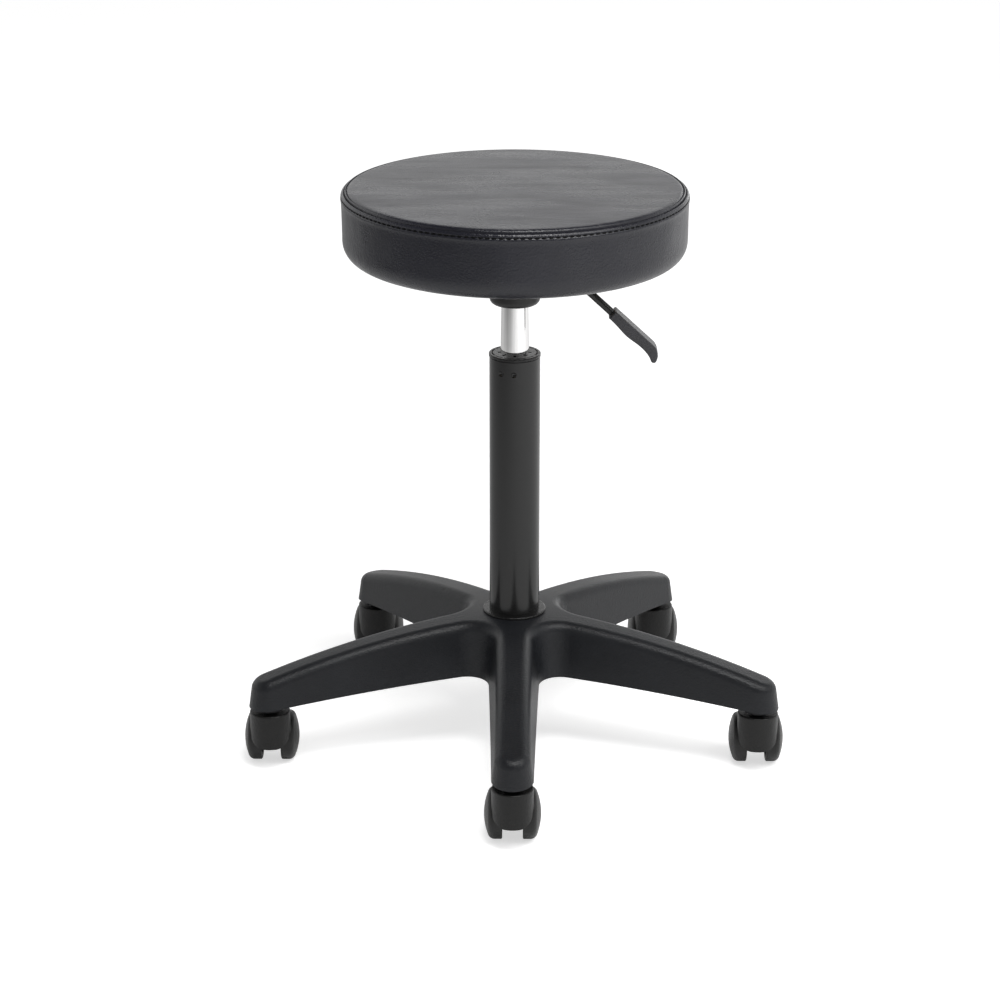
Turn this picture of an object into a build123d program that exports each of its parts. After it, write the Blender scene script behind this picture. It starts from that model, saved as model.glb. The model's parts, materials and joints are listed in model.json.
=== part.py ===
from build123d import *
import os
from math import acos, atan2, cos, hypot, radians, sin, tan

# Adjustable swivel stool: a padded round seat on a gas lift and a five-leg caster base.
# The origin is on the floor under the column, +Z is up, one leg points to -Y and the lever to +X.
# Heights are above the floor, with the seat at its lowest.

os.makedirs("parts", exist_ok=True)

fit = 0.05  # radial clearance of a shaft that turns or slides
gap = 0.3  # clearance between pieces that move past each other
standing = (Align.CENTER, Align.CENTER, Align.MIN)

# Seat
seat_top = 573.0
seat_radius = 167.5
cover_thickness = 1.2
crease_radius = 162.0  # seam between the top panel and the side band
crease_depth = 0.8
stitch_height = 566.0  # row of topstitching below the rim
stitch_depth = 0.9
lip_arc = (166.6, 571.4)  # a point on the rounded lip above the stitching
lip_bottom = 567.3
band_top = 564.8
band_ease = 0.4
side_draw_in = 0.8  # how much narrower the seat is above its lower corner
lower_corner = 18.0
hem_inner = 125.0
board_bottom = 507.0
board_thickness = 12.0
board_radius = 158.0
board_edge = 11.0
board_top = board_bottom + board_thickness
seat_bottom = board_bottom - cover_thickness
staple_count = 36
staple_circle = 136.0
staple_width = 10.0
staple_leg = 6.0
staple_wire = 0.7
staple_reach = (staple_width - staple_wire) / 2
foam_ease = 0.7  # the foam is this much narrower where it meets the board

# Seat plate and its lever pan
plate_side = 160.0
plate_corner = 14.0
sheet = 2.5
pan_edge = 3.75
pan_length = 96.0
pan_width = 76.0
pan_floor = 483.0
pan_corner = 10.0
slot_length = 30.0
slot_width = 10.0
bolt_spacing = 130.0
bolt_radius = 3.0
bolt_head_radius = 5.5
bolt_head_height = 3.5
bolt_head_edge = 1.15
hex_key_radius = 2.3
nut_flange_radius = 10.0
nut_flange = 1.5
nut_barrel_radius = 4.5

# Gas lift
column_radius = 25.0
column_bore = 22.0
column_foot = 72.0
column_floor = 76.0
column_top = 405.0
column_chamfer = 0.8
taper_slope = tan(radians(0.95))
bush_bottom = 320.0
bush_flange_radius = 25.5
bush_top = 408.0
bush_edge = 0.8
bush_groove_inner = 21.4
bush_groove_outer = 22.8
bush_groove_depth = 1.5
bush_bridges = 12
bush_bridge = (4.0, 1.6)
bush_notches = 8
bush_notch = (5.0, 3.0, 5.0)
crimp_height = 392.0
crimp_radius = 3.2
crimp_turns = (-32.0, -2.0)  # degrees from the front
crimp_repeats = 3
cylinder_radius = 14.0
cylinder_bottom = 98.0
cylinder_bore = 11.0
taper_start = 412.0
chamber_top = 470.0
cylinder_top = 490.0
rod_guide_height = 20.0
rod_radius = 5.0
journal_radius = 4.0
rod_bottom = 65.0
head_bottom = 330.0
head_height = 15.0
head_stub = 2.0  # how far the rod stands out above its head
washer_height = 1.5
washer_radius = 13.0
ball_radius = 2.0
ball_circle = 9.5
ball_count = 10
cage_inset = 1.0
buffer_height = 12.0
clip_height = 1.2
clip_depth = 1.0
button_radius = 4.0
button_bottom = 474.0
button_dome = 2.5
hub_bottom = 457.8
hub_radius = 24.7
hub_round = 6.0

# Release lever
lever_height = 499.0
pivot_x = 28.0
pin_radius = 2.5
pin_head_radius = 4.0
lever_radius = 3.7
lever_inner_end = -8.0
lever_bend_x = 40.4
lever_bend_radius = 12.0
lever_slope = 42.9  # degrees below level, past the bend
sleeve_radius = 5.5
sleeve_half = 6.2
ear_thickness = 2.0
bracket_length = 20.0
handle_start = 74.0  # from the bend corner, along the sloping rod
# The paddle's outline, in distances along the sloping rod and above it
handle_belly = ((0.0, -4.6), (13.0, -5.2), (26.0, -6.1), (38.0, -4.9), (51.0, -5.2), (58.5, -7.4))
handle_tip = ((61.2, -8.4), (63.9, -6.9))
handle_nose = ((63.6, -3.4), (59.6, 2.0))
handle_shoulder = (51.0, 5.3)
handle_mouth = ((1.5, 5.2), (0.0, 4.6))
handle_half_width = 10.0
handle_round = 1.6
handle_socket = 30.0

# Five-leg base
leg_count = 5
front = -90.0  # direction of the first leg in degrees
leg_step = 360.0 / leg_count
caster_circle = 255.0
outline_height = 60.0  # the leg outline is drawn here, below the lowest edge
outline_rise = 85.0
leg_draft = 8.0
leg_root_half = 30.3
leg_tip_half = 21.1
web_fillet = 20.0
shoulder_round = 10.5
hub_top = 137.0
leg_topside = ((33.0, hub_top), (150.0, 122.5), (280.0, 88.5))  # radius and height
leg_underside = ((36.0, 81.7), (149.0, 76.3), (280.0, 64.0))
pocket_drop = 30.0
wall = 4.0
roof = 4.5
rib = 3.0
rib_spots = (95.0, 150.0, 205.0)
boss_radius = 14.0
boss_bottom = 62.0
socket_top = 89.5
boss_rise = 10.0
socket_radius = 33.0
socket_bottom = 76.0
collar_radius = 31.6
collar_height = 2.6

# Twin-wheel casters, which trail towards +Y
wheel_radius = 25.0
trail = 18.0
axle_radius = 3.0
axle_half = 21.0
wheel_inner = 9.8
tread_outer = 17.0
tread_edge = 0.8
rim_inner = 21.5
rim_root = 20.0
recess_floor = 15.5  # along the axle
boss_root = 8.5
boss_tip = 7.5
dome_rim = (23.4, 20.2)  # along the axle and out from it
wheel_dome = 27.2
web_half = 9.0
web_radius = 10.0
web_reach = 26.0
hood_radius = 20.0
hood_bottom = 24.5
hood_top = 60.0
hood_corner = 13.0
hood_edge = 1.5
wheel_room = 1.3
stem_radius = 5.5
stem_top = 88.0
stem_chamfer = 1.0
stem_collar_radius = 7.5
stem_spigot_radius = 4.5
stem_spigot_bottom = 46.0
grip_low = 79.0
grip_high = 80.6
grip_depth = 0.9


def turned(points):
    with BuildPart() as piece:
        with BuildSketch(Plane.XZ):
            with BuildLine():
                Polyline(points, close=True)
            make_face()
        revolve(axis=Axis.Z)
    return piece


def ring(outer, inner, low, high):
    return turned([(inner, low), (outer, low), (outer, high), (inner, high)])


# Plan outline of the five legs, narrowed by inset on every side
def star_outline(inset):
    root = leg_root_half - inset
    tip = leg_tip_half - inset
    narrowing = acos(tip / hypot(root, caster_circle)) - atan2(caster_circle, root)
    shoulder = (caster_circle + tip * sin(narrowing), tip * cos(narrowing))
    with BuildSketch() as leg:
        with BuildLine():
            Polyline(shoulder, (0, root), (0, -root), (shoulder[0], -shoulder[1]))
            ThreePointArc((shoulder[0], -shoulder[1]), (caster_circle + tip, 0), shoulder)
        make_face()
    with BuildSketch(Plane.XY.offset(outline_height)) as outline:
        with PolarLocations(0, leg_count, start_angle=front):
            add(leg.sketch)
        notches = outline.vertices().sort_by_distance((0, 0, 0))[:leg_count]
        fillet(notches, web_fillet + inset)
    return outline.sketch


# Half section of the legs, with its lower and upper lines moved down
def leg_section(low_drop, top_drop):
    low = [(reach, height - low_drop) for reach, height in leg_underside]
    top = [(reach, height - top_drop) for reach, height in leg_topside]
    with BuildSketch(Plane.XZ) as section:
        with BuildLine():
            ThreePointArc(*low)
            Line(low[-1], top[-1])
            ThreePointArc(*top)
            Polyline(top[0], (0, top[0][1]), (0, low[0][1]), low[0])
        make_face()
    return section.sketch


# Radius of the column's tapered foot and of the cylinder's tapered top at a height
def foot_radius(height):
    return column_radius - (hub_top - height) * taper_slope


def taper_radius(height):
    return cylinder_radius - (height - taper_start) * taper_slope


# Base: the pockets under the legs, with ribs, bosses and the hub left standing in them
with BuildPart() as pockets:
    extrude(star_outline(wall), amount=outline_rise, taper=leg_draft)
    revolve(leg_section(pocket_drop, roof), axis=Axis.Z, mode=Mode.INTERSECT)
    with Locations((0, 0, outline_height)):
        Cylinder(socket_radius, outline_rise, align=standing, mode=Mode.SUBTRACT)
    with PolarLocations(caster_circle, leg_count, start_angle=front):
        with Locations((0, 0, outline_height)):
            Cylinder(boss_radius, outline_rise, align=standing, mode=Mode.SUBTRACT)
    with PolarLocations(caster_circle / 2, leg_count, start_angle=front):
        with Locations((0, 0, outline_height)):
            Box(caster_circle, rib, outline_rise, align=standing, mode=Mode.SUBTRACT)
    for spot in rib_spots:
        with PolarLocations(spot, leg_count, start_angle=front):
            with Locations((0, 0, outline_height)):
                Box(rib, 2 * leg_root_half, outline_rise, align=standing, mode=Mode.SUBTRACT)

with BuildPart() as star_base:
    extrude(star_outline(0), amount=outline_rise, taper=leg_draft)
    revolve(leg_section(0, 0), axis=Axis.Z, mode=Mode.INTERSECT)
    crown = star_base.faces().sort_by(Axis.Z)[-2]
    rim = crown.edges().filter_by(GeomType.CIRCLE, reverse=True)
    fillet(rim.filter_by(lambda edge: abs((edge @ 0.5).Y) > 1), shoulder_round)
    add(pockets.part, mode=Mode.SUBTRACT)
    with Locations((0, 0, socket_bottom)):
        Cylinder(socket_radius, boss_rise, align=standing)
    with PolarLocations(caster_circle, leg_count, start_angle=front):
        with Locations((0, 0, boss_bottom)):
            Cylinder(boss_radius, boss_rise, align=standing)
            Cylinder(stem_radius + fit, socket_top - boss_bottom, align=standing, mode=Mode.SUBTRACT)
    with Locations((0, 0, socket_bottom)):
        bore_height = hub_top - socket_bottom
        Cone(foot_radius(socket_bottom), column_radius, bore_height, align=standing, mode=Mode.SUBTRACT)
star_base.part.label = "star_base"
export_step(star_base.part, "parts/star_base.step")

with BuildPart() as hub_collar:
    add(ring(collar_radius, column_radius, hub_top, hub_top + collar_height))
    fillet(hub_collar.edges().group_by(Axis.Z)[-1].sort_by(SortBy.RADIUS)[-1], collar_height / 2)
hub_collar.part.label = "hub_collar"
export_step(hub_collar.part, "parts/hub_collar.step")

with BuildPart() as stem_grip_rings:
    with PolarLocations(caster_circle, leg_count, start_angle=front):
        with Locations((0, 0, grip_low + gap)):
            add(ring(stem_radius + fit, stem_radius - grip_depth + gap, 0, grip_high - grip_low - 2 * gap))
stem_grip_rings.part.label = "stem_grip_rings"
export_step(stem_grip_rings.part, "parts/stem_grip_rings.step")

# Gas lift: the outer tube stays with the base, the rod turns on a thrust bearing, the cylinder rises
with BuildPart() as column_tube:
    add(
        turned(
            [
                (journal_radius + gap, column_foot),
                (foot_radius(column_foot), column_foot),
                (column_radius, hub_top),
                (column_radius, column_top - column_chamfer),
                (column_radius - column_chamfer, column_top),
                (column_bore, column_top),
                (column_bore, column_floor),
                (journal_radius + gap, column_floor),
            ]
        )
    )
    for turn in crimp_turns:
        with PolarLocations(column_radius + crimp_radius / 2, crimp_repeats, start_angle=front + turn):
            with Locations((0, 0, crimp_height)):
                Sphere(crimp_radius, mode=Mode.SUBTRACT)
column_tube.part.label = "column_tube"
export_step(column_tube.part, "parts/column_tube.step")

with BuildPart() as guide_bush:
    add(
        turned(
            [
                (cylinder_radius + fit, bush_bottom),
                (column_bore, bush_bottom),
                (column_bore, column_top),
                (bush_flange_radius, column_top),
                (bush_flange_radius, bush_top),
                (cylinder_radius + fit, bush_top),
            ]
        )
    )
    fillet(guide_bush.edges().group_by(Axis.Z)[-1].sort_by(SortBy.RADIUS)[-1], bush_edge)
    with BuildSketch(Plane.XY.offset(bush_top)):
        Circle(bush_groove_outer)
        Circle(bush_groove_inner, mode=Mode.SUBTRACT)
        with PolarLocations(bush_groove_inner, bush_bridges):
            Rectangle(*bush_bridge, mode=Mode.SUBTRACT)
    extrude(amount=-bush_groove_depth, mode=Mode.SUBTRACT)
    with PolarLocations(cylinder_radius, bush_notches, start_angle=front):
        with Locations((0, 0, bush_top)):
            Box(*bush_notch, mode=Mode.SUBTRACT)
guide_bush.part.label = "guide_bush"
export_step(guide_bush.part, "parts/guide_bush.step")

bearing_low = column_floor + washer_height
bearing_high = bearing_low + 2 * ball_radius
rod_shoulder = bearing_high + washer_height

thrust_washer_lower = ring(washer_radius, rod_radius, column_floor, bearing_low)
thrust_washer_lower.part.label = "thrust_washer_lower"
export_step(thrust_washer_lower.part, "parts/thrust_washer_lower.step")

with BuildPart() as thrust_bearing:
    add(ring(washer_radius, journal_radius + gap, bearing_low + cage_inset, bearing_high - cage_inset))
    with PolarLocations(ball_circle, ball_count):
        with Locations((0, 0, bearing_low + ball_radius)):
            Sphere(ball_radius + fit, mode=Mode.SUBTRACT)
            Sphere(ball_radius)
thrust_bearing.part.label = "thrust_bearing"
export_step(thrust_bearing.part, "parts/thrust_bearing.step")

thrust_washer_upper = ring(washer_radius, journal_radius, bearing_high, rod_shoulder)
thrust_washer_upper.part.label = "thrust_washer_upper"
export_step(thrust_washer_upper.part, "parts/thrust_washer_upper.step")

clip_top = column_foot - gap
clip_groove = journal_radius - clip_depth
piston_rod = turned(
    [
        (0, rod_bottom),
        (journal_radius, rod_bottom),
        (journal_radius, clip_top - clip_height),
        (clip_groove, clip_top - clip_height),
        (clip_groove, clip_top),
        (journal_radius, clip_top),
        (journal_radius, rod_shoulder),
        (rod_radius, rod_shoulder),
        (rod_radius, head_bottom),
        (journal_radius, head_bottom),
        (journal_radius, head_bottom + head_height + head_stub),
        (0, head_bottom + head_height + head_stub),
    ]
)
piston_rod.part.label = "piston_rod"
export_step(piston_rod.part, "parts/piston_rod.step")

retaining_clip = ring(2 * journal_radius, clip_groove, clip_top - clip_height, clip_top)
retaining_clip.part.label = "retaining_clip"
export_step(retaining_clip.part, "parts/retaining_clip.step")

rubber_buffer = ring(washer_radius, rod_radius, rod_shoulder, rod_shoulder + buffer_height)
rubber_buffer.part.label = "rubber_buffer"
export_step(rubber_buffer.part, "parts/rubber_buffer.step")

piston_head = ring(cylinder_bore - fit, journal_radius, head_bottom, head_bottom + head_height)
piston_head.part.label = "piston_head"
export_step(piston_head.part, "parts/piston_head.step")

gas_cylinder = turned(
    [
        (cylinder_bore, cylinder_bottom),
        (cylinder_radius, cylinder_bottom),
        (cylinder_radius, taper_start),
        (taper_radius(cylinder_top), cylinder_top),
        (button_radius + fit, cylinder_top),
        (button_radius + fit, chamber_top),
        (cylinder_bore, chamber_top),
    ]
)
gas_cylinder.part.label = "gas_cylinder"
export_step(gas_cylinder.part, "parts/gas_cylinder.step")

rod_guide = ring(cylinder_bore, rod_radius + fit, cylinder_bottom, cylinder_bottom + rod_guide_height)
rod_guide.part.label = "rod_guide"
export_step(rod_guide.part, "parts/rod_guide.step")

button_top = lever_height - lever_radius - gap
with BuildPart() as release_button:
    with Locations((0, 0, button_bottom)):
        Cylinder(button_radius, button_top - button_bottom, align=standing)
    fillet(release_button.edges().group_by(Axis.Z)[-1], button_dome)
release_button.part.label = "release_button"
export_step(release_button.part, "parts/release_button.step")

# Seat mechanism: the hub sits on the taper, the plate carries the lever and is bolted to the board
with BuildPart() as taper_hub:
    add(
        turned(
            [
                (taper_radius(hub_bottom), hub_bottom),
                (hub_radius, hub_bottom),
                (hub_radius, pan_floor),
                (taper_radius(pan_floor), pan_floor),
            ]
        )
    )
    fillet(taper_hub.edges().group_by(Axis.Z)[0].sort_by(SortBy.RADIUS)[-1], hub_round)
taper_hub.part.label = "taper_hub"
export_step(taper_hub.part, "parts/taper_hub.step")

plate_bottom = board_bottom - sheet
bolt_spots = GridLocations(bolt_spacing, bolt_spacing, 2, 2)
with BuildPart() as seat_plate:
    with BuildSketch(Plane.XY.offset(board_bottom)):
        RectangleRounded(plate_side, plate_side, plate_corner)
    extrude(amount=-sheet)
    with BuildSketch(Plane.XY.offset(plate_bottom)):
        RectangleRounded(pan_length, pan_width, pan_corner)
    extrude(amount=pan_floor - plate_bottom)
    fillet(seat_plate.edges().group_by(Axis.Z)[0], pan_edge)
    with BuildSketch(Plane.XY.offset(board_bottom)):
        RectangleRounded(pan_length - 2 * sheet, pan_width - 2 * sheet, pan_corner - sheet)
    extrude(amount=pan_floor + sheet - board_bottom, mode=Mode.SUBTRACT)
    with Locations((0, 0, pan_floor)):
        Cylinder(cylinder_radius, sheet, align=standing, mode=Mode.SUBTRACT)
    with Locations((pan_length / 2, 0, pan_floor)):
        slot_height = lever_height + lever_radius - pan_floor
        Box(slot_length, slot_width, slot_height, align=standing, mode=Mode.SUBTRACT)
    with BuildSketch(Plane.XY.offset(board_bottom)):
        with bolt_spots:
            Circle(bolt_radius)
    extrude(amount=-sheet, mode=Mode.SUBTRACT)
seat_plate.part.label = "seat_plate"
export_step(seat_plate.part, "parts/seat_plate.step")

across_pivot = Plane(origin=(pivot_x, 0, lever_height), x_dir=(1, 0, 0), z_dir=(0, -1, 0))
ear_inner = sleeve_half + gap
bracket_floor = pan_floor + sheet
with BuildPart() as lever_bracket:
    with Locations((pivot_x, 0, bracket_floor)):
        Box(bracket_length, 2 * (ear_inner + ear_thickness), ear_thickness, align=standing)
    with BuildSketch(across_pivot):
        Circle(sleeve_radius)
        with Locations((0, (bracket_floor - lever_height) / 2)):
            Rectangle(2 * sleeve_radius, lever_height - bracket_floor)
    extrude(amount=ear_inner + ear_thickness, both=True)
    with BuildSketch(across_pivot):
        with Locations((0, (ear_thickness + sleeve_radius) / 2 + (bracket_floor - lever_height) / 2)):
            Rectangle(bracket_length, lever_height - bracket_floor + sleeve_radius - ear_thickness)
    extrude(amount=ear_inner, both=True, mode=Mode.SUBTRACT)
    with BuildSketch(across_pivot):
        Circle(pin_radius)
    extrude(amount=ear_inner + ear_thickness, both=True, mode=Mode.SUBTRACT)
lever_bracket.part.label = "lever_bracket"
export_step(lever_bracket.part, "parts/lever_bracket.step")

with BuildPart() as pivot_pin:
    with BuildSketch(across_pivot):
        Circle(pin_radius)
    extrude(amount=ear_inner + 2 * ear_thickness, both=True)
    with BuildSketch(across_pivot.offset(ear_inner + ear_thickness)):
        Circle(pin_head_radius)
    extrude(amount=ear_thickness)
pivot_pin.part.label = "pivot_pin"
export_step(pivot_pin.part, "parts/pivot_pin.step")

with BuildPart() as plate_bolts:
    with BuildSketch(Plane.XY.offset(plate_bottom)):
        with bolt_spots:
            Circle(bolt_head_radius)
    extrude(amount=-bolt_head_height)
    fillet(plate_bolts.edges().group_by(Axis.Z)[0], bolt_head_edge)
    with BuildSketch(Plane.XY.offset(plate_bottom - bolt_head_height)):
        with bolt_spots:
            RegularPolygon(hex_key_radius, 6)
    extrude(amount=bolt_head_height / 2, mode=Mode.SUBTRACT)
    with BuildSketch(Plane.XY.offset(plate_bottom)):
        with bolt_spots:
            Circle(bolt_radius)
    extrude(amount=board_top - plate_bottom - nut_flange)
plate_bolts.part.label = "plate_bolts"
export_step(plate_bolts.part, "parts/plate_bolts.step")

with BuildPart() as t_nuts:
    with BuildSketch(Plane.XY.offset(board_top - nut_flange)):
        with bolt_spots:
            Circle(nut_flange_radius)
    extrude(amount=nut_flange)
    with BuildSketch(Plane.XY.offset(board_bottom)):
        with bolt_spots:
            Circle(nut_barrel_radius)
    extrude(amount=board_thickness - nut_flange)
    with BuildSketch(Plane.XY.offset(board_bottom)):
        with bolt_spots:
            Circle(bolt_radius)
    extrude(amount=board_thickness, mode=Mode.SUBTRACT)
t_nuts.part.label = "t_nuts"
export_step(t_nuts.part, "parts/t_nuts.step")

# Seat: staples hold the cover's hem under the board
with BuildPart() as cover_staples:
    with PolarLocations(staple_circle, staple_count):
        with Locations((0, 0, seat_bottom - staple_wire)):
            Box(staple_wire, staple_width, staple_wire, align=standing)
        with Locations((0, staple_reach, seat_bottom), (0, -staple_reach, seat_bottom)):
            Box(staple_wire, staple_wire, staple_leg, align=standing)
cover_staples.part.label = "cover_staples"
export_step(cover_staples.part, "parts/cover_staples.step")

with BuildPart() as seat_board:
    with BuildSketch(Plane.XY.offset(board_bottom)):
        Circle(board_radius)
    extrude(amount=board_thickness)
    fillet(seat_board.edges().group_by(Axis.Z)[0], board_edge)
    add(t_nuts.part, mode=Mode.SUBTRACT)
    with BuildSketch(Plane.XY.offset(board_bottom)):
        with bolt_spots:
            Circle(bolt_radius)
    extrude(amount=board_thickness, mode=Mode.SUBTRACT)
    add(cover_staples.part, mode=Mode.SUBTRACT)
seat_board.part.label = "seat_board"
export_step(seat_board.part, "parts/seat_board.step")

corner_height = seat_bottom + lower_corner
corner_radius = seat_radius - side_draw_in
lining_corner = lower_corner - cover_thickness
lining_radius = corner_radius - cover_thickness
corner_centre = corner_radius - lower_corner
diagonal = cos(radians(45))
lining_rim = (seat_radius - stitch_depth - cover_thickness, stitch_height)
lining_top = seat_top - cover_thickness
lining_edge = (crease_radius - cover_thickness, lining_top)

with BuildPart() as seat_cover:
    with BuildSketch(Plane.XZ):
        with BuildLine():
            Polyline(
                (0, lining_top),
                (0, seat_top),
                (crease_radius - crease_depth, seat_top),
                (crease_radius, seat_top - crease_depth),
                (crease_radius + crease_depth, seat_top),
            )
            ThreePointArc((crease_radius + crease_depth, seat_top), lip_arc, (seat_radius, lip_bottom))
            Polyline(
                (seat_radius, lip_bottom),
                (seat_radius - stitch_depth, stitch_height),
                (seat_radius - band_ease, band_top),
                (corner_radius, corner_height),
            )
            ThreePointArc(
                (corner_radius, corner_height),
                (corner_centre + lower_corner * diagonal, corner_height - lower_corner * diagonal),
                (corner_centre, seat_bottom),
            )
            Polyline(
                (corner_centre, seat_bottom),
                (hem_inner, seat_bottom),
                (hem_inner, board_bottom),
                (corner_centre, board_bottom),
            )
            ThreePointArc(
                (corner_centre, board_bottom),
                (corner_centre + lining_corner * diagonal, corner_height - lining_corner * diagonal),
                (lining_radius, corner_height),
            )
            Polyline((lining_radius, corner_height), lining_rim, lining_edge, (0, lining_top))
        make_face()
    revolve(axis=Axis.Z)
    add(cover_staples.part, mode=Mode.SUBTRACT)
seat_cover.part.label = "seat_cover"
export_step(seat_cover.part, "parts/seat_cover.step")

seat_foam = turned(
    [
        (0, board_top),
        (lining_radius - foam_ease, board_top),
        (lining_radius, corner_height),
        lining_rim,
        lining_edge,
        (0, lining_top),
    ]
)
seat_foam.part.label = "seat_foam"
export_step(seat_foam.part, "parts/seat_foam.step")

# Release lever: a bent rod in a pivot sleeve, with a moulded paddle on its outer end
down_slope = (cos(radians(lever_slope)), 0, -sin(radians(lever_slope)))
bend_corner = (lever_bend_x, 0, lever_height)
rod_reach = handle_start + handle_socket
rod_end = (lever_bend_x + rod_reach * down_slope[0], 0, lever_height + rod_reach * down_slope[2])

with BuildPart() as lever_rod:
    with BuildLine() as lever_path:
        FilletPolyline((lever_inner_end, 0, lever_height), bend_corner, rod_end, radius=lever_bend_radius)
    with BuildSketch(Plane(origin=(lever_inner_end, 0, lever_height), z_dir=(1, 0, 0))):
        Circle(lever_radius)
    sweep()
    with BuildSketch(across_pivot):
        Circle(sleeve_radius)
    extrude(amount=sleeve_half, both=True)
    with BuildSketch(across_pivot):
        Circle(pin_radius + fit)
    extrude(amount=sleeve_half, both=True, mode=Mode.SUBTRACT)
lever_rod.part.label = "lever_rod"
export_step(lever_rod.part, "parts/lever_rod.step")

handle_origin = Vector(*bend_corner) + Vector(*down_slope) * handle_start
handle_plane = Plane(origin=handle_origin, x_dir=down_slope, z_dir=(0, -1, 0))
with BuildPart() as lever_handle:
    with BuildSketch(handle_plane):
        with BuildLine():
            Spline(*handle_belly, *handle_tip, *handle_nose, handle_shoulder)
            Polyline(handle_shoulder, *handle_mouth, handle_belly[0])
        make_face()
    extrude(amount=handle_half_width, both=True)
    fillet(lever_handle.edges().filter_by(Axis.Y, reverse=True), handle_round)
    with BuildSketch(Plane(origin=handle_origin, z_dir=down_slope)):
        Circle(lever_radius)
    extrude(amount=handle_socket, mode=Mode.SUBTRACT)
lever_handle.part.label = "lever_handle"
export_step(lever_handle.part, "parts/lever_handle.step")

# Casters: every piece is made once about a stem on the origin, then set under each leg
axle_axis = Axis((0, trail, wheel_radius), (1, 0, 0))
web_top = hood_top - wheel_radius - hood_edge
axle_plane = Plane(origin=(0, trail, wheel_radius), x_dir=(0, 1, 0), z_dir=(1, 0, 0))
wheel_plane = Plane(origin=(0, trail, wheel_radius), x_dir=(1, 0, 0), z_dir=(0, -1, 0))

with BuildPart() as hood:
    with BuildSketch(Plane.XY.offset(hood_bottom)):
        Circle(hood_radius)
    extrude(amount=hood_top - hood_bottom)
    fillet(hood.edges().group_by(Axis.Z)[-1], hood_edge)
    with BuildSketch(Plane.XZ) as apron:
        with Locations((0, hood_bottom)):
            Rectangle(2 * hood_radius, 2 * (hood_top - hood_bottom), align=(Align.CENTER, Align.MIN))
        fillet(apron.vertices().group_by(Axis.Y)[0], hood_corner)
    extrude(amount=2 * hood_radius, both=True, mode=Mode.INTERSECT)
    with BuildSketch(axle_plane):
        Circle(wheel_radius + wheel_room)
    extrude(amount=2 * hood_radius, both=True, mode=Mode.SUBTRACT)
    with BuildSketch(axle_plane):
        with BuildLine():
            CenterArc((0, 0), web_radius, -180, 270)
            Polyline((0, web_radius), (0, web_top), (-web_reach, web_top), (-web_reach, 0), (-web_radius, 0))
        make_face()
    extrude(amount=web_half, both=True)
    with BuildSketch(axle_plane):
        Circle(axle_radius)
    extrude(amount=web_half, both=True, mode=Mode.SUBTRACT)
    with BuildSketch(Plane.XY.offset(hood_top)):
        Circle(stem_spigot_radius)
    extrude(amount=stem_spigot_bottom - hood_top, mode=Mode.SUBTRACT)

stem = turned(
    [
        (0, stem_spigot_bottom),
        (stem_spigot_radius, stem_spigot_bottom),
        (stem_spigot_radius, hood_top),
        (stem_collar_radius, hood_top),
        (stem_collar_radius, boss_bottom - gap),
        (stem_radius, boss_bottom - gap),
        (stem_radius, grip_low),
        (stem_radius - grip_depth, grip_low),
        (stem_radius - grip_depth, grip_high),
        (stem_radius, grip_high),
        (stem_radius, stem_top - stem_chamfer),
        (stem_radius - stem_chamfer, stem_top),
        (0, stem_top),
    ]
)

with BuildPart() as axle:
    with BuildSketch(axle_plane):
        Circle(axle_radius)
    extrude(amount=axle_half, both=True)

# Half section of a wheel from the axle out, with an open recess on its inner side
with BuildPart() as wheel_right:
    with BuildSketch(wheel_plane):
        with BuildLine():
            Polyline(
                (wheel_dome, 0),
                (axle_half + gap, 0),
                (axle_half + gap, axle_radius + fit),
                (web_half + gap, axle_radius + fit),
                (web_half + gap, boss_tip),
                (recess_floor, boss_root),
                (recess_floor, rim_root),
                (wheel_inner, rim_inner),
                (wheel_inner, wheel_radius - tread_edge),
                (wheel_inner + tread_edge, wheel_radius),
                (tread_outer, wheel_radius),
            )
            TangentArc((tread_outer, wheel_radius), dome_rim, tangent=(1, 0))
            TangentArc((wheel_dome, 0), dome_rim, tangent=(0, 1))
        make_face()
    revolve(axis=axle_axis)

with BuildPart() as wheel_left:
    mirror(wheel_right.part, about=Plane.YZ)

caster_pieces = {
    "hood": hood,
    "stem": stem,
    "axle": axle,
    "wheel_left": wheel_left,
    "wheel_right": wheel_right,
}
for number in range(leg_count):
    direction = radians(front + number * leg_step)
    place = (caster_circle * cos(direction), caster_circle * sin(direction), 0)
    for name, piece in caster_pieces.items():
        with BuildPart() as placed:
            with Locations(place):
                add(piece.part)
        placed.part.label = f"caster_{number + 1}_{name}"
        export_step(placed.part, f"parts/{placed.part.label}.step")
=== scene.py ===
import json
import math
import bpy
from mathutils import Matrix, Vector, noise


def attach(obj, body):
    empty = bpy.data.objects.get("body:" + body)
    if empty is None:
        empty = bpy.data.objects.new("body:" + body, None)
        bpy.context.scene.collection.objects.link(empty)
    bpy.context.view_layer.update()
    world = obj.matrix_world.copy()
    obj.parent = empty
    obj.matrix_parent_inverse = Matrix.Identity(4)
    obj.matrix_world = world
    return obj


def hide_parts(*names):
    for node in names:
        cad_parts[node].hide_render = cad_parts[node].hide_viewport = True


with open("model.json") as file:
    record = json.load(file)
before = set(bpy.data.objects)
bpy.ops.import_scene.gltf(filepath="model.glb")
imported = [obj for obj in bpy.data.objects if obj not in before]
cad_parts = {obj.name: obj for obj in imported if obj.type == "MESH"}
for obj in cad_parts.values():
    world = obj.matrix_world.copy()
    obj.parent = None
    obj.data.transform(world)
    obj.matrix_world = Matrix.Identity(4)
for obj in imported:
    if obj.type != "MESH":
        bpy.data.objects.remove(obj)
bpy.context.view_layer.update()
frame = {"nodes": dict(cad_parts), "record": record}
print("frame loaded:", len(frame["nodes"]), "nodes")

scene = bpy.context.scene
scene.view_settings.view_transform = "Standard"


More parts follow.
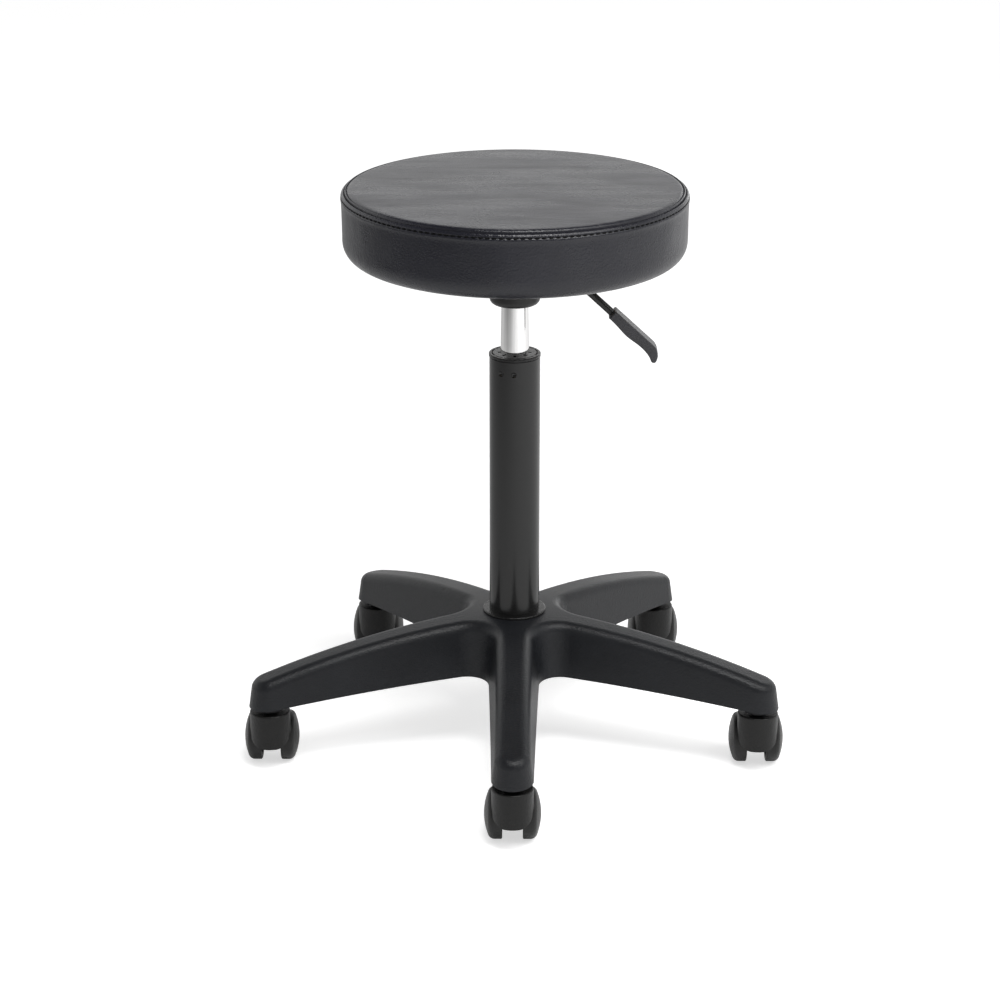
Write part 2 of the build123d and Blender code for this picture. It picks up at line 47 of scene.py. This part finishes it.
def only(obj):  # selects one object and makes it active
    bpy.ops.object.select_all(action="DESELECT")
    obj.select_set(True)
    bpy.context.view_layer.objects.active = obj


def editMode(obj, pick="VERT"):
    only(obj)
    bpy.ops.object.mode_set(mode="EDIT")
    bpy.ops.mesh.select_mode(type=pick)


def objectMode():
    bpy.ops.object.mode_set(mode="OBJECT")


def applyAll(obj):  # puts the object's place into its mesh
    only(obj)
    bpy.ops.object.transform_apply(location=True, rotation=True, scale=True)


# camera, where the photograph was taken from
camera = {"place": (0.01536, -2.7579, 1.2548), "pitchDown": 19.945, "turn": 0.62, "lens": 105.94,
          "sensor": 36, "reach": 50}

cameraTurn = (math.radians(90 - camera["pitchDown"]), 0, math.radians(camera["turn"]))
bpy.ops.object.camera_add(location=camera["place"], rotation=cameraTurn)
cameraObject = bpy.context.object
cameraObject.data.sensor_width = camera["sensor"]
cameraObject.data.lens = camera["lens"]
cameraObject.data.clip_end = camera["reach"]
scene.camera = cameraObject
print("camera set")


# node helpers for the finishes
def newFinish(name):
    material = bpy.data.materials.new(name)
    material.use_nodes = True
    tree = material.node_tree
    shader = tree.nodes["Principled BSDF"]
    coords = tree.nodes.new("ShaderNodeTexCoord").outputs["Object"]
    return material, tree, shader, coords


def stretched(tree, coords, scale, turn=(0, 0, 0)):
    mapping = tree.nodes.new("ShaderNodeMapping")
    mapping.inputs["Scale"].default_value = scale
    mapping.inputs["Rotation"].default_value = turn
    tree.links.new(coords, mapping.inputs["Vector"])
    return mapping.outputs["Vector"]


def noiseOf(tree, coords, scale, detail=2.0, roughness=0.5, distortion=0.0):
    node = tree.nodes.new("ShaderNodeTexNoise")
    node.inputs["Scale"].default_value = scale
    node.inputs["Detail"].default_value = detail
    node.inputs["Roughness"].default_value = roughness
    node.inputs["Distortion"].default_value = distortion
    tree.links.new(coords, node.inputs["Vector"])
    return node.outputs["Fac"]


def cellsOf(tree, coords, scale, feature="F1"):
    node = tree.nodes.new("ShaderNodeTexVoronoi")
    node.feature = feature
    node.inputs["Scale"].default_value = scale
    tree.links.new(coords, node.inputs["Vector"])
    return node.outputs["Distance"]


def rampOf(tree, value, stops):
    node = tree.nodes.new("ShaderNodeValToRGB")
    node.color_ramp.elements[0].position = stops[0][0]
    node.color_ramp.elements[0].color = (*stops[0][1], 1)
    node.color_ramp.elements[1].position = stops[-1][0]
    node.color_ramp.elements[1].color = (*stops[-1][1], 1)
    for place, colour in stops[1:-1]:
        node.color_ramp.elements.new(place).color = (*colour, 1)
    tree.links.new(value, node.inputs["Fac"])
    return node.outputs["Color"]


def spread(tree, value, low, high, start=0.0, end=1.0, smooth=False):  # maps start..end to low..high
    node = tree.nodes.new("ShaderNodeMapRange")
    if smooth:
        node.interpolation_type = "SMOOTHSTEP"
    node.inputs["From Min"].default_value = start
    node.inputs["From Max"].default_value = end
    node.inputs["To Min"].default_value = low
    node.inputs["To Max"].default_value = high
    tree.links.new(value, node.inputs["Value"])
    return node.outputs["Result"]


def bumpOf(tree, height, distance, strength=1.0, under=None):
    node = tree.nodes.new("ShaderNodeBump")
    node.inputs["Distance"].default_value = distance
    node.inputs["Strength"].default_value = strength
    tree.links.new(height, node.inputs["Height"])
    if under is not None:
        tree.links.new(under, node.inputs["Normal"])
    return node.outputs["Normal"]


def grey(value, blue=0.0):
    return (value, value, value * (1 + blue))


# black leatherette with a pebbled grain and faint draw lines
leather = {
    "dark": (0.0075, 0.0077, 0.0125), "light": (0.0125, 0.0128, 0.020), "patch": 14,
    "roughness": (0.13, 0.45), "wear": (9, 30, 18), "ior": 1.5,
    "drawLines": (16, 60, 30), "pebble": 560, "fine": 1900,
    # depth and strength of each relief
    "drawRelief": (0.0012, 0.35), "pebbleRelief": (0.0005, 0.38), "fineRelief": (0.0003, 0.25),
}


def leatheretteFinish():
    material, tree, shader, coords = newFinish("blackLeatherette")
    patch = noiseOf(tree, coords, leather["patch"], 4, 0.6)
    colour = rampOf(tree, patch, [(0.3, leather["dark"]), (0.75, leather["light"])])
    tree.links.new(colour, shader.inputs["Base Color"])
    pebble = cellsOf(tree, coords, leather["pebble"])
    fine = noiseOf(tree, coords, leather["fine"], 2)
    drawLines = noiseOf(tree, stretched(tree, coords, leather["drawLines"]), 1.0, 5, 0.62)
    relief = bumpOf(tree, drawLines, *leather["drawRelief"])
    relief = bumpOf(tree, pebble, *leather["pebbleRelief"], relief)
    relief = bumpOf(tree, fine, *leather["fineRelief"], relief)
    tree.links.new(relief, shader.inputs["Normal"])
    wear = noiseOf(tree, stretched(tree, coords, leather["wear"]), 1.0, 4, 0.6)
    tree.links.new(spread(tree, wear, *leather["roughness"]), shader.inputs["Roughness"])
    shader.inputs["IOR"].default_value = leather["ior"]
    return material


# matt moulded nylon with spark-eroded texture, for the base and the casters
nylon = {"speckle": 1500, "grain": 620, "cloud": 26, "specular": 0.36,
         "grainRelief": (0.0005, 0.45), "speckleRelief": (0.0003, 0.4)}


def nylonFinish(name, dark, light, roughness):
    material, tree, shader, coords = newFinish(name)
    cloud = noiseOf(tree, coords, nylon["cloud"], 4, 0.6)
    tree.links.new(rampOf(tree, cloud, [(0.3, dark), (0.7, light)]), shader.inputs["Base Color"])
    speckle = noiseOf(tree, coords, nylon["speckle"], 3, 0.6)
    relief = bumpOf(tree, cellsOf(tree, coords, nylon["grain"]), *nylon["grainRelief"])
    tree.links.new(bumpOf(tree, speckle, *nylon["speckleRelief"], relief), shader.inputs["Normal"])
    tree.links.new(spread(tree, cloud, *roughness), shader.inputs["Roughness"])
    shader.inputs["Specular IOR Level"].default_value = nylon["specular"]
    return material


# satin powder coat with faint orange peel, for the column and the mechanism
coat = {"peel": 420, "peelRelief": (0.00012, 0.25), "haze": (40, 40, 6), "lighter": 1.35, "specular": 0.45}


def paintFinish(name, colour, roughness):
    material, tree, shader, coords = newFinish(name)
    peel = noiseOf(tree, coords, coat["peel"], 2, 0.5)
    haze = noiseOf(tree, stretched(tree, coords, coat["haze"]), 1.0, 3)
    lighter = tuple(coat["lighter"] * c for c in colour)
    tree.links.new(rampOf(tree, haze, [(0.3, colour), (0.75, lighter)]), shader.inputs["Base Color"])
    tree.links.new(bumpOf(tree, peel, *coat["peelRelief"]), shader.inputs["Normal"])
    tree.links.new(spread(tree, haze, *roughness), shader.inputs["Roughness"])
    shader.inputs["Specular IOR Level"].default_value = coat["specular"]
    return material


# bright metals: chrome on the cylinder, plain steel inside
metal = {"duller": 0.86, "relief": (0.00002, 0.2)}


def metalFinish(name, colour, roughness, draw):
    material, tree, shader, coords = newFinish(name)
    lines = noiseOf(tree, stretched(tree, coords, draw), 1.0, 3, 0.6)
    duller = tuple(metal["duller"] * c for c in colour)
    tree.links.new(rampOf(tree, lines, [(0.35, duller), (0.65, colour)]), shader.inputs["Base Color"])
    tree.links.new(spread(tree, lines, *roughness), shader.inputs["Roughness"])
    tree.links.new(bumpOf(tree, lines, *metal["relief"]), shader.inputs["Normal"])
    shader.inputs["Metallic"].default_value = 1.0
    return material


# birch plywood with a long grain
birch = {
    "grain": (14, 260, 90), "figure": (5, 38, 20), "relief": (0.0002, 0.4), "roughness": (0.5, 0.7),
    "dark": (0.36, 0.23, 0.115), "middle": (0.50, 0.345, 0.19), "light": (0.57, 0.41, 0.24),
}


def plywoodFinish():
    material, tree, shader, coords = newFinish("birchPlywood")
    grain = noiseOf(tree, stretched(tree, coords, birch["grain"]), 1.0, 5, 0.62, 0.4)
    figure = noiseOf(tree, stretched(tree, coords, birch["figure"]), 1.0, 3, 0.5)
    face = rampOf(tree, grain, [(0.3, birch["dark"]), (0.55, birch["middle"]), (0.8, birch["light"])])
    tree.links.new(face, shader.inputs["Base Color"])
    tree.links.new(bumpOf(tree, grain, *birch["relief"]), shader.inputs["Normal"])
    tree.links.new(spread(tree, figure, *birch["roughness"]), shader.inputs["Roughness"])
    return material


# dull rubber of the buffer, also for the foam inside
rubber = {"dust": 90, "dark": 0.012, "light": 0.025, "roughness": (0.6, 0.8)}


def rubberFinish():
    material, tree, shader, coords = newFinish("bufferRubber")
    dust = noiseOf(tree, coords, rubber["dust"], 4, 0.6)
    colour = rampOf(tree, dust, [(0.35, grey(rubber["dark"])), (0.8, grey(rubber["light"]))])
    tree.links.new(colour, shader.inputs["Base Color"])
    tree.links.new(spread(tree, dust, *rubber["roughness"]), shader.inputs["Roughness"])
    return material


# black sewing thread
sewing = {"twist": 2600, "dark": 0.002, "light": 0.006, "relief": (0.0001, 0.6), "roughness": (0.5, 0.7),
          "specular": 0.12}


def threadFinish():
    material, tree, shader, coords = newFinish("blackThread")
    twist = noiseOf(tree, coords, sewing["twist"], 2)
    colour = rampOf(tree, twist, [(0.3, grey(sewing["dark"])), (0.7, grey(sewing["light"]))])
    tree.links.new(colour, shader.inputs["Base Color"])
    tree.links.new(bumpOf(tree, twist, *sewing["relief"]), shader.inputs["Normal"])
    tree.links.new(spread(tree, twist, *sewing["roughness"]), shader.inputs["Roughness"])
    shader.inputs["Specular IOR Level"].default_value = sewing["specular"]
    return material


finishes = {
    "base_nylon": nylonFinish("baseNylon", (0.0078, 0.0086, 0.0106), (0.0112, 0.0124, 0.0150), (0.35, 0.43)),
    "collar_gloss": nylonFinish("collarGloss", grey(0.006), grey(0.009), (0.16, 0.24)),
    "column_paint": paintFinish("columnPaint", grey(0.008), (0.18, 0.26)),
    "bush_plastic": nylonFinish("bushPlastic", grey(0.010), grey(0.015), (0.15, 0.22)),
    "bright_steel": metalFinish("brightSteel", grey(0.60), (0.22, 0.36), (900, 900, 60)),
    "buffer_rubber": rubberFinish(),
    "chrome": metalFinish("pistonChrome", (0.88, 0.875, 0.87), (0.05, 0.13), (420, 420, 3)),
    "mechanism_paint": paintFinish("mechanismPaint", grey(0.010), (0.34, 0.44)),
    "lever_paint": paintFinish("leverPaint", grey(0.008), (0.20, 0.30)),
    "handle_plastic": nylonFinish("handlePlastic", grey(0.050, 0.10), grey(0.064, 0.12), (0.40, 0.50)),
    "plywood": plywoodFinish(),
    "foam": rubberFinish(),
    "leatherette": leatheretteFinish(),
    "hood_nylon": nylonFinish("hoodNylon", grey(0.004, -0.05), grey(0.0065, -0.05), (0.34, 0.42)),
    "caster_steel": metalFinish("casterSteel", grey(0.10), (0.38, 0.5), (700, 700, 60)),
    "wheel_nylon": nylonFinish("wheelNylon", grey(0.007, -0.05), grey(0.011, -0.05), (0.30, 0.38)),
}
for part in frame["record"]["subparts"]:
    node = frame["nodes"][part["node"]]
    for place in node.material_slots:
        place.material = finishes[part["material_slot"]]
print("finishes on the fixed parts")


# padded seat: foam and leatherette in one, from the board's top face round its edge to the top panel
cushion = {
    "segments": 192, "topSpan": 48,
    "boardEdge": (0.147, 0.518, 0.0112),  # middle and radius of the inside bend round the board
    "lowerCorner": (0.1488, 0.5233, 0.018),  # the same for the outside corner
    "hem": [(0.136, 0.5068), (0.1252, 0.5068), (0.125, 0.5063), (0.1252, 0.5058), (0.136, 0.5058)],
    "sideRows": 9,
    "stitchGroove": [(0.1672, 0.5618), (0.1677, 0.5634), (0.1680, 0.5649), (0.1674, 0.5659), (0.1665, 0.5667),
                     (0.1670, 0.5672)],
    "lip": [(0.1676, 0.5676), (0.1674, 0.5684), (0.1667, 0.5694), (0.1659, 0.5703), (0.1652, 0.5704)],
    "lowCrease": [(0.1648, 0.5697), (0.1644, 0.5682), (0.1640, 0.5698)],
    "seamRidge": [(0.1638, 0.5714), (0.1634, 0.5724), (0.1629, 0.5725)],
    "topCrease": [(0.1625, 0.5716), (0.1621, 0.5698), (0.1616, 0.5716)],
    "topEdge": [(0.1609, 0.5726), (0.1599, 0.5731), (0.1583, 0.5734), (0.1562, 0.5735)],
    "pressure": 4.0, "frames": 20, "topSwell": 0.0009, "sideSwell": 0.0007,
    "boardTop": 0.5192, "seamReach": 0.0003,
    "heldBelow": 0.5205, "cornerBelow": 0.526, "cornerBeyond": 0.16,  # held on the board and at the corner
    "topWithin": 0.1612, "topAbove": 0.57,  # what counts as the top when the swelling is capped
}


def arcRings(arc, first, last, steps):  # ring radius and height along a bend, angles in degrees
    middle, height, radius = arc
    turns = [math.radians(first + (last - first) * step / steps) for step in range(steps + 1)]
    return [(middle + radius * math.cos(turn), height + radius * math.sin(turn)) for turn in turns]


def cushionRings():
    rings = [(cushion["boardEdge"][0] + cushion["boardEdge"][2], cushion["boardTop"])]
    rings += arcRings(cushion["boardEdge"], 0, -90, 5) + cushion["hem"]
    rings += arcRings(cushion["lowerCorner"], -90, 0, 7)
    low, high = rings[-1], cushion["stitchGroove"][0]
    for row in range(1, cushion["sideRows"]):
        part = row / cushion["sideRows"]
        rings.append((low[0] + (high[0] - low[0]) * part, low[1] + (high[1] - low[1]) * part))
    for band in ("stitchGroove", "lip", "lowCrease", "seamRidge", "topCrease", "topEdge"):
        rings += cushion[band]
    return rings


def makeCushion():
    rings = cushionRings()
    bpy.ops.object.select_all(action="DESELECT")
    start = (0, 0, rings[0][1])
    bpy.ops.mesh.primitive_circle_add(vertices=cushion["segments"], radius=rings[0][0], location=start)
    seat = bpy.context.object
    seat.name = "seatCushion"
    applyAll(seat)
    editMode(seat)
    bpy.ops.mesh.select_all(action="SELECT")
    for (oldRadius, oldHeight), (radius, height) in zip(rings, rings[1:]):
        bpy.ops.mesh.extrude_edges_move(TRANSFORM_OT_translate={"value": (0, 0, height - oldHeight)})
        grow = radius / oldRadius
        bpy.ops.transform.resize(value=(grow, grow, 1), center_override=(0, 0, height))
    bpy.ops.mesh.fill_grid(span=cushion["topSpan"])
    bpy.ops.mesh.select_all(action="DESELECT")
    bpy.ops.mesh.select_non_manifold()  # the ring that still lies open on the board
    bpy.ops.mesh.fill_grid(span=cushion["topSpan"])
    bpy.ops.mesh.select_all(action="SELECT")
    bpy.ops.mesh.normals_make_consistent(inside=False)
    objectMode()
    return seat


def swellCushion(seat):  # cloth under pressure, held along its seams and on the board
    seams = [cushion["stitchGroove"][4]] + cushion["lowCrease"] + cushion["seamRidge"] + cushion["topCrease"]
    held = seat.vertex_groups.new(name="held")
    for vertex in seat.data.vertices:
        radius, height = math.hypot(vertex.co.x, vertex.co.y), vertex.co.z
        onSeam = any(math.hypot(radius - r, height - z) < cushion["seamReach"] for r, z in seams)
        inCorner = height < cushion["cornerBelow"] and radius > cushion["cornerBeyond"]
        if onSeam or inCorner or height < cushion["heldBelow"]:
            held.add([vertex.index], 1.0, "REPLACE")
    rest = [vertex.co.copy() for vertex in seat.data.vertices]
    only(seat)
    bpy.ops.object.modifier_add(type="CLOTH")
    cloth = seat.modifiers["Cloth"]
    cloth.settings.vertex_group_mass = "held"
    cloth.settings.use_pressure = True
    cloth.settings.uniform_pressure_force = cushion["pressure"]
    cloth.settings.effector_weights.gravity = 0
    for step in range(1, cushion["frames"] + 1):
        scene.frame_set(step)
    bpy.ops.object.modifier_apply(modifier="Cloth")
    scene.frame_set(1)
    moves = [vertex.co - start for vertex, start in zip(seat.data.vertices, rest)]
    within, above = cushion["topWithin"], cushion["topAbove"]
    onTop = [math.hypot(start.x, start.y) < within and start.z > above for start in rest]
    most = max(move.length for move, top in zip(moves, onTop) if top)
    mostSide = max(move.length for move, top in zip(moves, onTop) if not top)
    print("swelling before the cap, top and side, in mm:", round(1000 * most, 2), round(1000 * mostSide, 2))
    for vertex, start, move, top in zip(seat.data.vertices, rest, moves, onTop):
        limit = cushion["topSwell"] / most if top else cushion["sideSwell"] / mostSide
        vertex.co = start + move * min(1.0, limit)


# unevenness of the cover: limits are radii and heights, scales are for the noise
settle = {
    "topWithin": 0.1605, "topAbove": 0.5722, "topFade": 0.03, "topDepth": 0.00022,
    "drawn": (7, 48, 3.1), "drawnFine": (16, 110, 8.4), "fineShare": 0.5,
    "sideBeyond": 0.16, "sideLow": 0.526, "sideHigh": 0.5648,
    "pucker": (52, 30), "puckerDepth": 0.00025, "puckerReach": 0.006, "slow": (9, 22), "slowDepth": 0.00035,
    "hemBelow": 0.5062, "hemInner": 0.1255, "hemOuter": 0.1476, "hemFade": 0.022,
    "hemDepth": 0.0004, "pleats": 36,
}


def aroundNoise(angle, z, scale):
    return noise.noise(Vector((scale[0] * math.cos(angle), scale[0] * math.sin(angle), scale[1] * z)))


def acrossNoise(x, y, scale):
    return noise.noise(Vector((scale[0] * x, scale[1] * y, scale[2])))


def settleCushion(seat):  # draw lines across the top, puckers under the stitching, pleats in the hem
    for vertex in seat.data.vertices:
        x, y, z = vertex.co
        radius, angle = math.hypot(x, y), math.atan2(y, x)
        outward = Vector((x, y, 0)).normalized() if radius > 0.001 else Vector((0, 0, 1))
        if z > settle["topAbove"] and radius < settle["topWithin"]:
            fade = min(1.0, (settle["topWithin"] - radius) / settle["topFade"])
            across = acrossNoise(x, y, settle["drawn"])
            across += settle["fineShare"] * acrossNoise(x, y, settle["drawnFine"])
            vertex.co.z += settle["topDepth"] * fade * across
        elif settle["sideLow"] < z < settle["sideHigh"] and radius > settle["sideBeyond"]:
            near = math.exp(-(settle["sideHigh"] - z) / settle["puckerReach"])
            pucker = settle["puckerDepth"] * near * aroundNoise(angle, z, settle["pucker"])
            vertex.co += outward * (pucker + settle["slowDepth"] * aroundNoise(angle, z, settle["slow"]))
        elif z < settle["hemBelow"] and settle["hemInner"] < radius < settle["hemOuter"]:
            pleat = 0.5 - 0.5 * math.cos(settle["pleats"] * angle)
            vertex.co.z -= settle["hemDepth"] * pleat * (settle["hemOuter"] - radius) / settle["hemFade"]


seatCushion = makeCushion()
swellCushion(seatCushion)
settleCushion(seatCushion)
only(seatCushion)
bpy.ops.object.shade_smooth()
bpy.ops.object.modifier_add(type="SUBSURF")
seatCushion.modifiers["Subdivision"].levels = 1
seatCushion.modifiers["Subdivision"].render_levels = 1
bpy.ops.object.modifier_apply(modifier="Subdivision")
seatCushion.data.materials.append(finishes["leatherette"])
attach(seatCushion, "seat")
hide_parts("seat_cover", "seat_foam")
print("cushion made:", len(seatCushion.data.polygons), "faces")


# topstitching round the rim: one shaped stitch, copied round the seat
stitches = {"count": 161, "length": 0.0044, "radius": 0.0007, "circle": 0.1671, "height": 0.5666,
            "sides": 6, "cut": 0.25, "endFrom": 0.4, "endSize": 0.5, "sink": 0.0003, "smooth": 50}


def makeStitches():
    bpy.ops.object.select_all(action="DESELECT")
    place = (stitches["circle"], 0, stitches["height"])
    bpy.ops.mesh.primitive_cylinder_add(vertices=stitches["sides"], radius=stitches["radius"],
                                        depth=stitches["length"], end_fill_type="NGON",
                                        location=place, rotation=(math.pi / 2, 0, 0))
    thread = bpy.context.object
    thread.name = "rimStitching"
    applyAll(thread)
    editMode(thread)
    for side in (1, -1):
        bpy.ops.mesh.select_all(action="SELECT")
        bpy.ops.mesh.bisect(plane_co=(0, side * stitches["cut"] * stitches["length"], 0), plane_no=(0, 1, 0))
    objectMode()
    for vertex in thread.data.vertices:  # the ends are thinner and go down into the groove
        if abs(vertex.co.y) > stitches["endFrom"] * stitches["length"]:
            out, rise = vertex.co.x - stitches["circle"], vertex.co.z - stitches["height"]
            vertex.co.x = stitches["circle"] - stitches["sink"] + stitches["endSize"] * out
            vertex.co.z = stitches["height"] + stitches["endSize"] * rise
    bpy.ops.object.empty_add(location=(0, 0, 0), rotation=(0, 0, 2 * math.pi / stitches["count"]))
    pitch = bpy.context.object
    only(thread)
    bpy.ops.object.modifier_add(type="ARRAY")
    copies = thread.modifiers["Array"]
    copies.count = stitches["count"]
    copies.use_relative_offset = False
    copies.use_object_offset = True
    copies.offset_object = pitch
    bpy.ops.object.modifier_apply(modifier="Array")
    only(pitch)
    bpy.ops.object.delete()
    only(thread)
    bpy.ops.object.shade_smooth_by_angle(angle=math.radians(stitches["smooth"]))
    return thread


rimStitching = makeStitches()
rimStitching.data.materials.append(threadFinish())
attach(rimStitching, "seat")
print("stitches made:", stitches["count"])


# floor and light
studio = {
    "floorSize": 24, "floorPaint": 0.9, "floorRoughness": 0.9, "floorSpecular": 0.2,
    "floorGlow": 0.58,
    "glossGlow": 0.34, "glossFade": (-0.6, 1.2),  # polished parts see a floor painted to glow paler to the right, a painted reflection
    "frontLeft": (-0.87, -0.5), "glossDim": (1.1, 1.9), "dimTo": 0.4,  # and painted darker far out at the front left, a painted shade in reflections
    "worldLight": 0.42,
    "wallGlow": 0.93, "ceilingGlow": 0.1, "wallFade": (0.38, 0.74),  # the walls fade to a dim ceiling
    "frontFade": (-0.7, 0.25), "frontGlow": 0.32,  # the room is dimmer behind the camera
}
lamps = {
    "key": {"place": (1.7, -1.2, 2.4), "aim": (0.6, -0.4, 0.0), "size": 1.6, "power": 34},
    "top": {"place": (0.22, -1.0, 2.4), "aim": (0.0, -0.1, 0.57), "size": 0.75, "power": 22},
    "rim": {"place": (1.1, 2.9, 0.5), "aim": (0.1, 0.0, 0.4), "size": 0.9, "power": 3.5},
}


def added(tree, *values):
    total = values[0]
    for value in values[1:]:
        node = tree.nodes.new("ShaderNodeMath")
        tree.links.new(total, node.inputs[0])
        tree.links.new(value, node.inputs[1])
        total = node.outputs[0]
    return total


def times(tree, value, other):  # the second value is a number or a socket
    node = tree.nodes.new("ShaderNodeMath")
    node.operation = "MULTIPLY"
    tree.links.new(value, node.inputs[0])
    if isinstance(other, float):
        node.inputs[1].default_value = other
    else:
        tree.links.new(other, node.inputs[1])
    return node.outputs[0]


bpy.ops.object.select_all(action="DESELECT")
bpy.ops.mesh.primitive_plane_add(size=studio["floorSize"])
floor = bpy.context.object
floor.name = "floor"
floorMaterial, tree, shader, coords = newFinish("paleFloor")
shader.inputs["Roughness"].default_value = studio["floorRoughness"]
shader.inputs["Specular IOR Level"].default_value = studio["floorSpecular"]
shader.inputs["Emission Color"].default_value = (1, 1, 1, 1)
rays = tree.nodes.new("ShaderNodeLightPath").outputs
across = tree.nodes.new("ShaderNodeSeparateXYZ")
tree.links.new(coords, across.inputs[0])
# painted reflection: glossy rays see the floor glow more towards the right
fade = spread(tree, across.outputs["X"], 0.0, 1.0, *studio["glossFade"])
polished = times(tree, added(tree, rays["Is Glossy Ray"], rays["Is Transmission Ray"]), fade)
seenGlow = times(tree, rays["Is Camera Ray"], studio["floorGlow"])
polishedGlow = times(tree, polished, studio["glossGlow"])
tree.links.new(added(tree, seenGlow, polishedGlow), shader.inputs["Emission Strength"])
leftPart = times(tree, across.outputs["X"], studio["frontLeft"][0])
frontPart = times(tree, across.outputs["Y"], studio["frontLeft"][1])
dim = spread(tree, added(tree, leftPart, frontPart), 1.0, studio["dimTo"], *studio["glossDim"])
# painted shade in reflections: for glossy rays only, the floor's colour is darker far out at the front left
reflectionShade = tree.nodes.new("ShaderNodeMix")
reflectionShade.inputs["A"].default_value = 1.0
tree.links.new(rays["Is Glossy Ray"], reflectionShade.inputs["Factor"])
tree.links.new(dim, reflectionShade.inputs["B"])
tree.links.new(times(tree, reflectionShade.outputs["Result"], studio["floorPaint"]), shader.inputs["Base Color"])
floor.data.materials.append(floorMaterial)

world = bpy.data.worlds.new("whiteStudio")
world.use_nodes = True
scene.world = world
tree = world.node_tree
room = tree.nodes["Background"]
room.inputs["Color"].default_value = (1, 1, 1, 1)
direction = tree.nodes.new("ShaderNodeSeparateXYZ")
tree.links.new(tree.nodes.new("ShaderNodeTexCoord").outputs["Generated"], direction.inputs[0])
roomGlow = (studio["wallGlow"], studio["ceilingGlow"])
walls = spread(tree, direction.outputs["Z"], *roomGlow, *studio["wallFade"], True)
front = spread(tree, direction.outputs["Y"], studio["frontGlow"], 1.0, *studio["frontFade"], True)
rays = tree.nodes.new("ShaderNodeLightPath").outputs
seen = tree.nodes.new("ShaderNodeMix")  # polished parts see the walls, the rest an even light
seen.inputs["A"].default_value = studio["worldLight"]
tree.links.new(added(tree, rays["Is Glossy Ray"], rays["Is Transmission Ray"]), seen.inputs["Factor"])
tree.links.new(times(tree, walls, front), seen.inputs["B"])
white = tree.nodes.new("ShaderNodeMath")
white.operation = "MAXIMUM"
tree.links.new(seen.outputs["Result"], white.inputs[0])
tree.links.new(rays["Is Camera Ray"], white.inputs[1])
tree.links.new(white.outputs[0], room.inputs["Strength"])

for name, lamp in lamps.items():
    bpy.ops.object.light_add(type="AREA", location=lamp["place"])
    lampObject = bpy.context.object
    lampObject.name = name + "Lamp"
    lampObject.data.size = lamp["size"]
    lampObject.data.energy = lamp["power"]
    lampObject.visible_camera = False
    aim = Vector(lamp["aim"]) - lampObject.location
    lampObject.rotation_euler = aim.to_track_quat("-Z", "Y").to_euler()
print("studio set")

bpy.context.view_layer.update()
